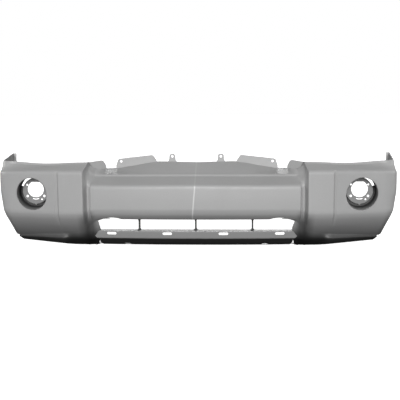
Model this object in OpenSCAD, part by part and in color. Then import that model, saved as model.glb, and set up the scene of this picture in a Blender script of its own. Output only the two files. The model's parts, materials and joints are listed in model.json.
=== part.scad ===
// Front bumper cover assembly for a mid-size sport utility vehicle.
// Millimetres. +X is the vehicle's left, +Y points to the rear of the vehicle, +Z is up.
// "left" and "right" in the names are the vehicle's own sides.

/* [Cover] */
// Wall of the moulded cover
wall = 3; // [2.5:0.5:3]
// Length along the front from the centre to the wing's inner edge
wing_edge = 491; // [489:1:494]
// Length along the front to the vertical groove that parts the wing's two faces
wing_groove = 606; // [602:1:610]
// Length along the front to the start of the rounded corner
corner_start = 834; // [831:1:838]
// Length along the front to the end of the rounded corner
corner_end = 946; // [942:1:952]
// Heading of each half of the band by the wing's edge, degrees
bow_turn = 5; // [4:0.5:6]
// Heading of the wing's outer face, degrees
wing_turn = 15; // [14:0.5:16]
// Heading of the side panel, degrees
side_turn = 84; // [83:0.5:85]

/* [Centre band] */
// Height of the top of the raised band's flat face
band_top = 269; // [265:1:273]
// Height of the bottom of the raised band's flat face
band_bottom = 172; // [168:1:176]
// Height of the small step across the upper ledge
step_height = 311; // [308:1:314]
// Height of the upper ledge at its rear edge
ledge_top = 364; // [360:1:366]

/* [Lower valance] */
// Length of one slot in the bar
slot_length = 42; // [36:1:46]
// Width of one slot in the bar
slot_width = 13; // [11:1:14]
// Distance between neighbouring slots
slot_pitch = 246; // [240:1:248]

/* [Fog lamps] */
// Distance of the pocket from the vehicle's centre plane
lamp_x = 724; // [720:1:728]
// Height of the pocket's mouth
lamp_z = 234; // [230:1:237]
// Radius of the pocket
pocket_r = 71; // [69:1:72]
// Radius of the hole for the lamp
lamp_r = 36.5; // [34:0.5:38]

/* [Mounts] */
// Distance of each centre tab's hole from the centre plane
tab_x = 110; // [105:1:115]
// Height of the centre tabs' holes
tab_z = 390; // [387:1:392]
// Distance of each outer tab hole from the centre plane
outer_tab_x = 343; // [340:1:346]
// Radius of the holes in the upper tabs
tab_hole_r = 5.5; // [4:0.5:6]
// How far the retainers' centre pins are drawn out, 0 when they are locked
pin_out = 0; // [0:1:8]

/* [Hidden] */
$fn = 40;

primer = [0.68, 0.68, 0.68];
black = [0.08, 0.08, 0.09];
zinc = [0.72, 0.72, 0.70];
LEFT = 1;
RIGHT = -1;

// ---- The guide: the wing's face seen from above, as a line integrated from its heading ----

guide_y0 = -14;     // the guide's centre stands this far ahead of the band's face
wing_in_turn = 7;   // heading of the wing's inner face
guide_step = 4;
side_end = 1270;

function ramp(s, a, b) = max(0, min(1, (s - a) / (b - a)));
function heading(s) = bow_turn * ramp(s, 0, wing_edge)
    + (wing_in_turn - bow_turn) * ramp(s, wing_edge, wing_edge + 10)
    + (wing_turn - wing_in_turn) * ramp(s, wing_groove - 10, wing_groove + 10)
    + (side_turn - wing_turn) * ramp(s, corner_start, corner_end);
guide = [for (s = 0, x = 0, y = guide_y0; s <= side_end;
    x = x + guide_step * cos(heading(s + guide_step / 2)),
    y = y + guide_step * sin(heading(s + guide_step / 2)),
    s = s + guide_step) [s, x, y]];
guide_xs = [for (g = guide) [g[0], g[1]]];
guide_ys = [for (g = guide) [g[0], g[2]]];
guide_ss = [for (g = guide) [g[1], g[0]]];

// A point that stands out by o from the guide at the length s along it, at height z.
function at(s, o, z) = let (a = abs(s), h = heading(a))
    [sign(s) * (lookup(a, guide_xs) + o * sin(h)), lookup(a, guide_ys) - o * cos(h), z];

// ---- The cover's section: each key line runs the whole length of the cover ----

inner_edge = 436;   // free edge of the wing's inner wall, beside the intake
centre_end = 450;   // the plain centre section ends here
band_end = 459;
dip = 465;          // bottom of the groove between the band and the wing
bead = 471;         // small bead beside the groove
inner_wall = 477;   // foot of the wing's inner wall
wall_mid = 484;
column_end = 560;   // the wing's smooth inner column ends here
lip_start = 592;    // and the lower lip is fully formed here
lip_mid = 700;
lip_end = 826;
corner_mid = (corner_start + corner_end) / 2;
return_z = 123.5;     // height of the return flange under the band
return_out = -66;

// [length along the guide, stand-out, height]
rim = [[0, -204, ledge_top], [176, -202, ledge_top + 4], [310, -196, 349], [400, -190, 338],
    [centre_end, -142, 340],
    [band_end, -138, 341], [inner_wall, -128, 348], [wall_mid, -119, 369], [wing_edge, -64, 374],
        [lip_mid, -62, 367],
    [corner_start, -58, 373], [corner_end, -16, 377], [side_end, -4, 388]];
rim_in = [[0, -197, ledge_top - 3], [176, -195, ledge_top + 1], [310, -189, 346], [400, -182, 335],
    [centre_end, -134, 337], [band_end, -130, 338], [inner_wall, -120, 343], [wall_mid, -111, 362],
        [wing_edge, -59, 367],
    [lip_mid, -57, 358], [corner_start, -53, 362], [corner_end, -13, 366], [side_end, -4, 354]];
step_top = [[0, -94, step_height + 8], [centre_end, -98, step_height + 6], [band_end, -98, step_height + 6],
    [inner_wall, -88, 326], [wall_mid, -74, 345], [wing_edge, -42, 358], [lip_mid, -40, 352],
        [corner_start, -38, 350],
    [corner_end, -12, 352], [side_end, -3, 338]];
step_low = [[0, -90, step_height], [centre_end, -94, step_height - 2], [band_end, -92, step_height],
    [inner_wall, -78, 318], [wall_mid, -60, 335], [wing_edge, -27, 350], [lip_mid, -26, 346],
        [corner_start, -25, 343],
    [corner_end, -8, 343], [side_end, -2, 325]];
ledge = [[0, -25, band_top + 15], [band_end, -32, band_top + 11], [dip, -39, band_top + 14],
    [bead, -43, band_top + 19], [inner_wall, -46, band_top + 29], [wall_mid, -34, band_top + 47],
        [wing_edge, -9, 342],
    [lip_mid, -9, 339], [corner_start, -8, 335], [corner_end, -6, 332], [side_end, -1, 312]];
shoulder = [[0, -17.5, band_top + 9], [band_end, -24.5, band_top + 5], [dip, -35, band_top + 7],
    [bead, -36, band_top + 10], [inner_wall, -39, band_top + 20], [wall_mid, -27, band_top + 37],
        [wing_edge, -3, 336],
    [lip_mid, -3, 334], [corner_start, -2, 330], [corner_end, -2, 326], [side_end, 0, 298]];
face_top = [[0, -14, band_top], [band_end, -21, band_top - 4], [dip, -36, band_top - 2],
    [bead, -31, band_top - 1],
    [inner_wall, -34, band_top + 8], [wall_mid, -21, band_top + 27], [wing_edge, 0, 329], [lip_mid, 0, 327],
    [corner_start, 0, 323], [corner_end, 0, 318], [side_end, 0, 285]];
face_mid = [[0, -13, 220], [band_end, -20, 218], [dip, -36, 220], [bead, -30, 223], [inner_wall, -32, 225],
    [wing_edge, 0, 236], [corner_start, 0, 236], [side_end, 0, 236]];
face_low = [[0, -14, band_bottom], [band_end, -21, band_bottom - 3], [dip, -36, 168], [bead, -30, 166],
    [inner_wall, -32, 163], [wing_edge, 0, 152], [corner_start, 0, 150], [corner_mid, -6, 152],
    [corner_end, -12, 155], [side_end, -6, 160]];
turn_in = [[0, -22, 147], [band_end, -29, 144], [dip, -41, 143], [bead, -37, 142], [inner_wall, -37, 140],
    [wing_edge, -5, 134], [corner_start, -5, 131], [corner_mid, -15, 128], [corner_end, -24, 128],
        [side_end, -14, 130]];
low_edge = [[0, -44, 124.5], [inner_edge, -46, 124], [centre_end, -47, 122], [band_end, -49, 119],
    [bead, -47, 112],
    [inner_wall, -43, 108], [wing_edge, -28, 102], [515, -24, 99], [corner_start, -26, 92],
        [corner_mid, -38, 88],
    [corner_end, -40, 92], [side_end, -26, 100]];
chamfer = [[0, return_out, return_z], [400, return_out, return_z], [inner_edge, -58, 117],
    [centre_end, -57, 111],
    [band_end, -56, 104], [bead, -54, 92], [inner_wall, -51, 86], [wing_edge, -43, 75], [column_end, -44, 63],
    [lip_start, -50, 57], [lip_mid, -50, 50], [lip_end, -52, 41], [corner_mid, -62, 42],
        [corner_end, -60, 48],
    [side_end, -38, 62]];
lip = [[inner_edge, -64, 84], [centre_end, -63, 79], [band_end, -62, 72], [bead, -61, 61],
    [inner_wall, -60, 57],
    [wing_edge, -57, 48], [515, -53, 42], [column_end, -52, 40], [lip_start, -41, 38], [lip_mid, -41, 38],
        [lip_end, -43, 36]];
under = [[inner_edge, -76, 40], [centre_end, -75, 37], [band_end, -74, 33], [inner_wall, -72, 26],
    [wing_edge, -69, 22], [column_end, -66, 20], [lip_start, -60, 19], [lip_mid, -60, 23],
        [lip_end, -60, 27]];
under_rear = [[inner_edge, -106, 0], [band_end, -100, 0], [wing_edge, -94, 0], [538, -91, 0],
    [lip_start, -88, 2], [lip_end, -84, 14]];
floor_rear = [[inner_edge, -146, 0], [band_end, -142, 0], [wing_edge, -134, 0], [538, -128, 0],
    [lip_start, -122, 2], [lip_end, -106, 12]];
keys = [rim, rim_in, step_top, step_low, ledge, shoulder, face_top, face_mid, face_low, turn_in, low_edge,
    chamfer, lip, under, under_rear, floor_rear];
SHOULDER = 5;
TURN_IN = 9;
CHAMFER = 11;       // key lines after this one belong to the wings' lower lip only

// How far back the wheel arch lets each height run, as a length along the guide.
arch = [[0, 1060], [60, 1066], [90, 1091], [130, 1121], [180, 1156], [230, 1186], [280, 1209], [330, 1227],
    [390, 1240]];
arch_flange = 24;   // width of the flange that turns inward along the wheel arch
ear_flange = 18;     // and its width at the ear on top
side_parts = 5;

n_keys = len(keys);
key_outs = [for (key = keys) [for (p = key) [p[0], p[1]]]];
key_heights = [for (key = keys) [for (p = key) [p[0], p[2]]]];

groove_depth = 5.5;   // the vertical groove between the wing's two faces
groove_half = 8;      // and half its width

// Beyond the corner the stations are shares of the way to the wheel arch; the last one is the arch flange.
front_stations = [0, 60, 118, 176, 243, 310, 355, 400, inner_edge, centre_end, band_end, dip, bead,
    inner_wall, wall_mid,
    wing_edge, 515, 538, column_end, lip_start, wing_groove - groove_half,
    wing_groove, wing_groove + groove_half, 650,
    lip_mid, 765, lip_end, corner_start, 857, 880, 903, 926, corner_end];
n_front = len(front_stations);
half = n_front + side_parts + 1;

lean = [10, 9, 7, 5, 2];    // the top of the wing's inner wall leans toward the centre by this much
lean_share = [[band_end, 0], [inner_wall, 1], [wall_mid, 0.1], [wing_edge, 1], [column_end, 0]];
edge_shift = [6, -7, -2, 10, 10];    // and its free edge slants along the intake, key line by key line
function lean_at(s, k) = k < len(lean) ? lean[k] * lookup(s, lean_share)
    : (k >= CHAMFER && s == inner_edge) ? -edge_shift[k - CHAMFER] : 0;
function groove_at(i, k) = (k >= SHOULDER && k <= TURN_IN && front_stations[i] == wing_groove)
    ? groove_depth : 0;

function front_point(i, k, side) = let (s = front_stations[i])
    at(side * (s - lean_at(s, k) + 0.000001), lookup(s, key_outs[k]) - groove_at(i, k),
        lookup(s, key_heights[k]));
function side_point(i, k, side) = let (
    z_end = lookup(side_end, key_heights[k]),
    run = lookup(z_end, arch) - corner_end,
    share = min(1, (i - n_front + 1) / side_parts),
    o0 = lookup(corner_end, key_outs[k]),
    o1 = lookup(side_end, key_outs[k]),
    z0 = lookup(corner_end, key_heights[k]),
    inward = i == half - 1 ? (k < 2 ? ear_flange : arch_flange) : 0)
    at(side * (corner_end + run * share), o0 + (o1 - o0) * share - inward, z0 + (z_end - z0) * share);

columns = [for (i = [half - 1:-1:1]) [i, RIGHT], for (i = [0:half - 1]) [i, LEFT]];
n_cols = len(columns);
skin = [for (c = columns) [for (k = [0:n_keys - 1])
    c[0] < n_front ? front_point(c[0], k, c[1]) : side_point(c[0], k, c[1])]];

// The lower lip's key lines only run where the lip is, so their ends take the nearest real neighbour.
function in_lip(i) = let (c = columns[i][0])
    c < n_front && front_stations[c] >= inner_edge && front_stations[c] <= lip_end;
function last_key(i) = in_lip(i) ? n_keys - 1 : CHAMFER;
function neighbour(i, k, d) = let (j = max(0, min(n_cols - 1, i + d))) (k > CHAMFER && !in_lip(j)) ? i : j;
function unit(v) = v / norm(v);
function wall_normal(i, k) = let (a = neighbour(i, k, 1), b = neighbour(i, k, -1),
    lo = max(0, k - 1), hi = min(last_key(i), k + 1))
    unit(cross(skin[a][k] - skin[b][k], skin[i][hi] - skin[i][lo]));
lining = [for (i = [0:n_cols - 1]) [for (k = [0:n_keys - 1])
    k <= last_key(i) ? skin[i][k] + wall * wall_normal(i, k) : skin[i][k]]];

function has_cell(i, k) = i >= 0 && i < n_cols - 1 && k >= 0 && k < n_keys - 1
    && (k < CHAMFER || (in_lip(i) && in_lip(i + 1)));
function out_id(i, k) = i * n_keys + k;
function in_id(i, k) = (n_cols + i) * n_keys + k;
function two(a, b, c, d) = [[a, b, c], [a, c, d]];
cells = [for (i = [0:n_cols - 2]) for (k = [0:n_keys - 2]) if (has_cell(i, k)) [i, k]];
cover_faces = [for (c = cells) let (i = c[0], k = c[1]) each concat(
    two(out_id(i, k), out_id(i + 1, k), out_id(i + 1, k + 1), out_id(i, k + 1)),
    two(in_id(i, k), in_id(i, k + 1), in_id(i + 1, k + 1), in_id(i + 1, k)),
    has_cell(i, k - 1) ? [] : two(out_id(i, k), in_id(i, k), in_id(i + 1, k), out_id(i + 1, k)),
    has_cell(i, k + 1) ? []
        : two(out_id(i, k + 1), out_id(i + 1, k + 1), in_id(i + 1, k + 1), in_id(i, k + 1)),
    has_cell(i - 1, k) ? [] : two(out_id(i, k), out_id(i, k + 1), in_id(i, k + 1), in_id(i, k)),
    has_cell(i + 1, k) ? []
        : two(out_id(i + 1, k), in_id(i + 1, k), in_id(i + 1, k + 1), out_id(i + 1, k + 1)))];

module skin_shell() {
    polyhedron(points = concat([for (c = skin) each c], [for (c = lining) each c]), faces = cover_faces);
}

// ---- Small helpers ----

// The row's origin is the middle of the centre tabs' hole line, at the tabs' front face.
module seated() {
    translate([0, -tab_y, -tab_z]) children();
}

module sided(side) {
    if (side == LEFT) children();
    else mirror([1, 0, 0]) children();
}

// A cylinder along +Y that starts at y = 0.
module rod_y(r, h) {
    rotate([-90, 0, 0]) cylinder(r = r, h = h);
}

// Stands children on the inside of the left side panel: +Z of the children points inward, +Y points up.
module on_side(s, z) {
    p = at(s, -wall, z);
    translate(p) rotate([0, 0, heading(s) - 90]) rotate([0, -90, 0]) rotate([0, 0, 90]) children();
}

// ---- Bumper cover ----

pocket_tilt = 5;        // the pocket rises by this much toward the rear, degrees
pocket_mouth_y = 54;
pocket_back = 139;      // the bracket bolts against this plane
pocket_wall = 3;
seat_r = 87;            // clear of the bosses' outer edge, so that the two never just touch
seat_t = 3;
seat_z = lamp_z + (pocket_back - pocket_mouth_y) * tan(pocket_tilt);
seat_screw_r = 78;
seat_screws = [45, 135, 225, 315];
boss_r = 6;
boss_h = 10;
pilot_r = 2.1;

module along_pocket() {
    translate([lamp_x, pocket_mouth_y, lamp_z]) rotate([pocket_tilt, 0, 0]) children();
}

module pocket_tube() {
    face = at(lookup(lamp_x, guide_ss), 0, 0);
    intersection() {
        along_pocket() translate([0, -60, 0]) rod_y(pocket_r + pocket_wall, 170);
        translate([face[0], face[1], lamp_z]) rotate([0, 0, wing_turn]) translate([-150, 1, -150])
            cube([300, 300, 300]);
        translate([lamp_x - 150, -50, lamp_z - 150]) cube([300, pocket_back + 50, 300]);
    }
    translate([lamp_x, pocket_back - seat_t, seat_z]) rod_y(seat_r, seat_t);
    for (a = seat_screws)
        translate([lamp_x + seat_screw_r * cos(a), pocket_back - seat_t - boss_h,
            seat_z + seat_screw_r * sin(a)])
            rod_y(boss_r, boss_h + 1);
}

module pocket_bores() {
    along_pocket() translate([0, -120, 0]) rod_y(pocket_r, 260);
    for (a = seat_screws)
        translate([lamp_x + seat_screw_r * cos(a), pocket_back - seat_t - boss_h + 2,
            seat_z + seat_screw_r * sin(a)])
            rod_y(pilot_r, boss_h + seat_t);
}

tab_y = 188;
tab_t = 3;
corner_tab_x = 474;
corner_tab_y = 112;
corner_tab_turn = 143;
outer_hole_z = 368;

module upright(y, outline) {
    translate([0, y + tab_t, 0]) rotate([90, 0, 0]) linear_extrude(height = tab_t) polygon(outline);
}

module tabs() {
    upright(tab_y, [[tab_x - 22, ledge_top - 2], [tab_x - 15, ledge_top + 10], [tab_x - 13, tab_z + 6],
        [tab_x - 7, tab_z + 12],
        [tab_x + 7, tab_z + 12], [tab_x + 13, tab_z + 6], [tab_x + 15, ledge_top + 12],
            [tab_x + 21, ledge_top]]);
    upright(tab_y - 2, [[178, ledge_top - 2], [183, 376], [199, 397], [303, 386], [352, 380], [357, 376],
        [366, 351],
        [366, 337], [300, 345]]);
    translate([corner_tab_x, corner_tab_y, 0]) rotate([0, 0, corner_tab_turn]) rotate([90, 0, 0])
        linear_extrude(height = tab_t)
            polygon([[1, 366], [3, 371], [55, 376], [66, 375], [72, 370], [84, 350], [84, 337], [40, 337],
                [18, 345]]);
}

hook_bumps = 366;   // tow hooks pass under the band here
bump_r = 112;
bump_rise = 9;
bump_foot = 124;    // height of the circle's chord, at the return flange
rail_s = [1010, 1075, 1140];
rail_z = 262;
rail_boss_h = 8;
arch_hole_r = 4;

// Stands children on the arch flange: +Z points to the rear, out of the flange.
module on_arch(row) {
    k = CHAMFER - row;
    a = skin[n_cols - 2][k];
    b = skin[n_cols - 1][k];
    c = skin[n_cols - 2][k - 1];
    mid = (a + c + b + skin[n_cols - 1][k - 1]) / 4;
    x_dir = unit(b - a);
    z_dir = unit(cross(x_dir, c - a));
    y_dir = cross(z_dir, x_dir);
    multmatrix([[x_dir[0], y_dir[0], z_dir[0], mid[0]], [x_dir[1], y_dir[1], z_dir[1], mid[1]],
        [x_dir[2], y_dir[2], z_dir[2], mid[2]], [0, 0, 0, 1]]) children();
}
arch_rows = [2, 4, 6];

retainer_y = 124;
retainer_xs = [452, 484];
retainer_hole_r = 4.2;
grille_screw_xs = [-290, -145, 0, 145, 290];
grille_screw_y = 46.5;
grille_low_screw_y = 60;

module bumper_cover() {
    color(primer) seated() difference() {
        union() {
            skin_shell();
            for (side = [LEFT, RIGHT]) sided(side) {
                pocket_tube();
                tabs();
                for (s = rail_s) on_side(s, rail_z) translate([0, 0, -1])
                    cylinder(r = boss_r, h = rail_boss_h + 1);
            }
        }
        for (side = [LEFT, RIGHT]) sided(side) {
            pocket_bores();
            translate([tab_x, tab_y - 5, tab_z]) rod_y(tab_hole_r, 15);
            translate([outer_tab_x, tab_y - 5, outer_hole_z]) rod_y(tab_hole_r, 15);
            intersection() {
                translate([hook_bumps, -20, bump_foot + bump_rise - bump_r]) rod_y(bump_r, 85);
                translate([hook_bumps - 60, -20, return_z - 10]) cube([120, 85, 40]);
            }
            for (s = rail_s) on_side(s, rail_z) translate([0, 0, 1])
                cylinder(r = pilot_r, h = rail_boss_h + 5);
            for (row = arch_rows) on_arch(row) translate([0, 0, -10]) cylinder(r = arch_hole_r, h = 20);
            for (x = retainer_xs) translate([x, retainer_y, -5]) cylinder(r = retainer_hole_r, h = 12);
        }
        for (x = grille_screw_xs) translate([x, grille_screw_y, return_z - 5]) cylinder(r = pilot_r, h = 12);
    }
}

// ---- Lower valance ----

bar_top_z = 74.5;
shelf_z = 68.8;
bar_keys = [[[0, -102, shelf_z], [426, -102, shelf_z]], [[0, -56, shelf_z], [426, -56, shelf_z]],
    [[0, -49, bar_top_z], [427, -49, bar_top_z]], [[0, -38, bar_top_z], [428, -38, bar_top_z]],
    [[0, -35, bar_top_z - 2], [430, -35, bar_top_z - 2]], [[0, -45, 49], [449, -45, 49]],
    [[0, -48, 41], [440, -48, 41]], [[0, -52, 36], [433, -52, 36]], [[0, -78, 16], [433, -78, 16]],
    [[0, -104, 1], [424, -104, 1]], [[0, -148, 2], [424, -148, 2]]];
bar_steps = 8;
bar_rows = len(bar_keys);
bar_cols = 2 * bar_steps + 1;

// One point of the bar's outer surface; u runs from -1 to 1 across the bar.
function bar_point(u, k) = at((u < 0 ? -1 : 1) * (abs(u) * bar_keys[k][1][0] + 0.000001), bar_keys[k][0][1],
    bar_keys[k][0][2]);
bar_skin = [for (i = [0:bar_cols - 1]) [for (k = [0:bar_rows - 1]) bar_point(i / bar_steps - 1, k)]];
bar_lining = [for (i = [0:bar_cols - 1]) [for (k = [0:bar_rows - 1])
    bar_skin[i][k] + wall * unit(cross(bar_skin[min(bar_cols - 1, i + 1)][k] - bar_skin[max(0, i - 1)][k],
        bar_skin[i][min(bar_rows - 1, k + 1)] - bar_skin[i][max(0, k - 1)]))]];
function bar_out(i, k) = i * bar_rows + k;
function bar_in(i, k) = (bar_cols + i) * bar_rows + k;
bar_faces = concat(
    [for (i = [0:bar_cols - 2]) for (k = [0:bar_rows - 2]) each concat(
        two(bar_out(i, k), bar_out(i + 1, k), bar_out(i + 1, k + 1), bar_out(i, k + 1)),
        two(bar_in(i, k), bar_in(i, k + 1), bar_in(i + 1, k + 1), bar_in(i + 1, k)))],
    [for (i = [0:bar_cols - 2]) each concat(
        two(bar_out(i, 0), bar_in(i, 0), bar_in(i + 1, 0), bar_out(i + 1, 0)),
        two(bar_out(i, bar_rows - 1), bar_out(i + 1, bar_rows - 1), bar_in(i + 1, bar_rows - 1),
            bar_in(i, bar_rows - 1)))],
    [for (k = [0:bar_rows - 2]) each concat(
        two(bar_out(0, k), bar_out(0, k + 1), bar_in(0, k + 1), bar_in(0, k)),
        two(bar_out(bar_cols - 1, k), bar_in(bar_cols - 1, k), bar_in(bar_cols - 1, k + 1),
            bar_out(bar_cols - 1, k + 1)))]);

slot_z = 63.3;
slot_near = -25;        // a slot is cut from this far ahead of the bar's wall
slot_far = -48.5;       // to this far behind it, both measured from the guide at that slot
belly_hole_x = 304;
belly_hole_y = 92;
belly_hole = [17, 11];      // half length and half width
ear_t = 3;
ear_start = 400;        // an ear reaches from here under the wing's floor
ear_length = 104;
ear_width = 26;

// How far back the guide is at the distance x from the centre plane.
function guide_y_at(x) = lookup(lookup(abs(x), guide_ss), guide_ys);

module slot_cut(length, width, h) {
    for (e = [-1, 1]) translate([e * (length - width) / 2, 0, 0]) rod_y(width / 2, h);
    translate([-(length - width) / 2, 0, -width / 2]) cube([length - width, h, width]);
}

module lower_valance() {
    color(primer) seated() difference() {
        union() {
            polyhedron(points = concat([for (c = bar_skin) each c], [for (c = bar_lining) each c]),
                faces = bar_faces);
            for (side = [LEFT, RIGHT]) sided(side)
                translate([ear_start, retainer_y - 12, wall + 0.2]) cube([ear_length, ear_width, ear_t]);
        }
        for (n = [-1.5:1:1.5]) translate([n * slot_pitch, guide_y_at(n * slot_pitch) - slot_near, slot_z])
            slot_cut(slot_length, slot_width, slot_near - slot_far);
        for (side = [LEFT, RIGHT]) sided(side) {
            for (e = [-1, 1]) translate([belly_hole_x + e * (belly_hole[0] - belly_hole[1]), belly_hole_y,
                -5])
                cylinder(r = belly_hole[1], h = 30);
            translate([belly_hole_x - belly_hole[0] + belly_hole[1], belly_hole_y - belly_hole[1], -5])
                cube([2 * (belly_hole[0] - belly_hole[1]), 2 * belly_hole[1], 30]);
            for (x = retainer_xs) translate([x, retainer_y, -5]) cylinder(r = retainer_hole_r, h = 20);
        }
        for (x = grille_screw_xs) translate([x, grille_low_screw_y, shelf_z - 6]) cylinder(r = 2.5, h = 12);
    }
}

// ---- Intake insert ----

grille_y = 75;
grille_depth = 18;
grille_low = shelf_z + 0.2;
grille_high = return_z + wall + 0.6;
plate_t = 2.2;
plate_y = 42.5;           // the upper plate lies on the return flange from here back
floor_y = 53;           // and the lower one on the valance's shelf, behind its step
grille_ends = [446, 431];   // half width at the top and at the bottom
open_ends = [441, 427];     // and of the opening
open_high = 121;
vane_x = 251;
vane_t = 7;
open_r = 9;
arch_gap = 5;
arch_t = 5;
end_x = 318;

module hook_circle(grow) {
    intersection() {
        translate([hook_bumps, bump_foot + bump_rise - bump_r]) circle(r = bump_r + grow, $fn = 160);
        translate([hook_bumps - 70, open_high - 20]) square([140, 60]);
    }
}

// The windows of one half; the outer one rises over the tow hook's bump and its end is slanted.
module half_windows() {
    low = grille_low + plate_t;
    offset(r = open_r, $fn = 32) offset(delta = -open_r) {
        translate([vane_t / 2, low]) square([vane_x - vane_t, open_high - low]);
        polygon([[vane_x + vane_t / 2, open_high], [open_ends[0], open_high], [open_ends[1], low],
            [vane_x + vane_t / 2, low]]);
        hook_circle(arch_gap);
    }
}

module grille_outline() {
    polygon([[0, grille_high + plate_t], [end_x, grille_high + plate_t], [end_x, grille_high],
        [410, grille_high],
        [grille_ends[0], open_high - 6], [grille_ends[1], grille_low], [0, grille_low]]);
    hook_circle(arch_gap + arch_t);
}

module intake_grille() {
    color(black) seated() difference() {
        union() {
            translate([0, grille_y + grille_depth, 0]) rotate([90, 0, 0])
                linear_extrude(height = grille_depth)
                for (side = [0, 1]) mirror([side, 0]) difference() {
                    grille_outline();
                    half_windows();
                }
            translate([-end_x, plate_y, grille_high]) cube([2 * end_x, grille_y - plate_y + 1, plate_t]);
            translate([-open_ends[1] + 4, floor_y + 8, grille_low])
                cube([2 * open_ends[1] - 8, grille_y - floor_y - 7, plate_t]);
            translate([-310, floor_y, grille_low]) cube([620, 9, plate_t]);
        }
        for (x = grille_screw_xs) translate([x, 0, 0]) {
            translate([0, grille_screw_y, grille_high - 1]) cylinder(r = 2.5, h = plate_t + 2);
            translate([0, grille_low_screw_y, grille_low - 1]) cylinder(r = pilot_r, h = plate_t + 2);
        }
    }
}

module screw(length, head_r) {
    cylinder(r = 2, h = length);
    translate([0, 0, -2.4]) cylinder(r = head_r, h = 2.4);
    translate([0, 0, -3.9]) cylinder(r = head_r * 0.62, h = 1.6, $fn = 6);
}

module grille_screws_upper() {
    color(zinc) seated() for (x = grille_screw_xs) translate([x, grille_screw_y, grille_high + plate_t])
        rotate([180, 0, 0]) screw(plate_t + wall - 1, 4.5);
}

module grille_screws_lower() {
    color(zinc) seated() for (x = grille_screw_xs) translate([x, grille_low_screw_y, shelf_z - wall])
        screw(wall + plate_t, 4.5);
}

// ---- Fog lamp brackets ----

disc_r = 58.5;
disc_t = 2.5;
disc_stand = 15;        // the disc stands this far ahead of the seat
hole_up = 7;            // the lamp hole sits this far above the disc's middle
lamp_flat = 32.5;       // half height of the lamp hole at its flat top

module bracket_openings() {
    translate([0, 0, hole_up]) {
        intersection() {
            translate([0, -1, 0]) rod_y(lamp_r, 10);
            translate([-50, -2, -50]) cube([100, 12, 50 + lamp_flat]);
        }
        for (e = [-1, 1]) {
            translate([e * 38, -1, 20]) rod_y(4.25, 10);
            translate([e * 38, -1, -31]) rod_y(5.5, 10);
        }
        translate([27, -1, -46]) rod_y(4, 10);
    }
    // curved slot under the lamp hole
    translate([0, -1, 0]) rotate([-90, 0, 0]) rotate([0, 0, 90 - 22]) rotate_extrude(angle = 44)
        translate([36, 0]) square([4, 10]);
}

module fog_bracket() {
    difference() {
        union() {
            rod_y(disc_r, disc_t);
            difference() {
                rod_y(disc_r, disc_stand);
                translate([0, -1, 0]) rod_y(disc_r - disc_t, disc_stand + 5);
            }
            translate([0, disc_stand, 0]) difference() {
                rod_y(seat_r, disc_t);
                translate([0, -1, 0]) rod_y(disc_r - disc_t, 8);
            }
            translate([0, 2, 0]) rotate([90, 0, 0]) linear_extrude(height = 2)
                polygon([[-7, -disc_r + 1], [7, -disc_r + 1], [0, -disc_r - 6]]);
        }
        bracket_openings();
        for (start = [18, 97]) translate([0, disc_stand - 1, 0]) rotate([90, 0, 0]) mirror([0, 0, 1])
            rotate([0, 0, start]) rotate_extrude(angle = 65) translate([disc_r + 0.6, 0])
                square([pocket_r - disc_r - 1.2, 6]);
        for (a = seat_screws) translate([seat_screw_r * cos(a), disc_stand - 1, seat_screw_r * sin(a)])
            rod_y(2.5, 8);
    }
}

module place_bracket(side) {
    translate([side * lamp_x, pocket_back - disc_stand, seat_z]) children();
}

module bracket_screws() {
    for (a = seat_screws) translate([seat_screw_r * cos(a), disc_stand + disc_t, seat_screw_r * sin(a)])
        rotate([90, 0, 0]) screw(11, 4.5);
}

module fog_bracket_left() {
    color(primer) seated() place_bracket(LEFT) fog_bracket();
}

module fog_bracket_right() {
    color(primer) seated() place_bracket(RIGHT) fog_bracket();
}

module fog_bracket_screws_left() {
    color(zinc) seated() place_bracket(LEFT) bracket_screws();
}

module fog_bracket_screws_right() {
    color(zinc) seated() place_bracket(RIGHT) bracket_screws();
}

// ---- Side rails ----

rail_t = 3;
rail_w = 30;
rail_lip = 12;
rail_ribs = [-76, -38, 38, 76];     // along the rail from its middle screw, clear of every screw head
rail_windows = [-51, -19, 19, 51];
rail_window = [7, 8];
rail_over = 22;     // the rail runs on beyond its end screws by this much

module side_rail() {
    length = rail_s[2] - rail_s[0] + 2 * rail_over;
    difference() {
        on_side(rail_s[1], rail_z) translate([0, 0, rail_boss_h]) union() {
            translate([-length / 2, -rail_w / 2, 0]) cube([length, rail_w, rail_t]);
            translate([-length / 2, rail_w / 2 - rail_t, 0]) cube([length, rail_t, rail_lip]);
            translate([-length / 2, -rail_w / 2, 0]) cube([length, rail_t, rail_lip]);
            for (x = rail_ribs) translate([x - 1, -rail_w / 2, 0]) cube([2, rail_w, rail_lip]);
        }
        for (s = rail_s) on_side(s, rail_z) translate([0, 0, rail_boss_h - 2]) cylinder(r = 2.5, h = 30);
        for (x = rail_windows) on_side(rail_s[1], rail_z)
            translate([x - rail_window[0] / 2, -rail_window[1] / 2, 0])
                cube([rail_window[0], rail_window[1], 30]);
    }
}

module rail_screws() {
    for (s = rail_s) on_side(s, rail_z) translate([0, 0, rail_boss_h + rail_t]) rotate([180, 0, 0])
        screw(rail_t + 6, 4.5);
}

module side_rail_left() {
    color(black) seated() sided(LEFT) side_rail();
}

module side_rail_right() {
    color(black) seated() sided(RIGHT) side_rail();
}

module side_rail_screws_left() {
    color(zinc) seated() sided(LEFT) rail_screws();
}

module side_rail_screws_right() {
    color(zinc) seated() sided(RIGHT) rail_screws();
}

// ---- Clip nuts on the arch flange ----

clip_t = 0.8;
clip_w = 14;
clip_bore_r = 2.4;
clip_barrel_r = 4.5;
clip_barrel_h = 4;
clip_tail = 8;          // the clip reaches this far from its bore on the side away from the free edge
clip_gap = 0.3;         // between the clip and the flange, all round
clip_reach = arch_flange / 2 + 2.5;   // its bridge passes the corner of the flange's free edge here

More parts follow.
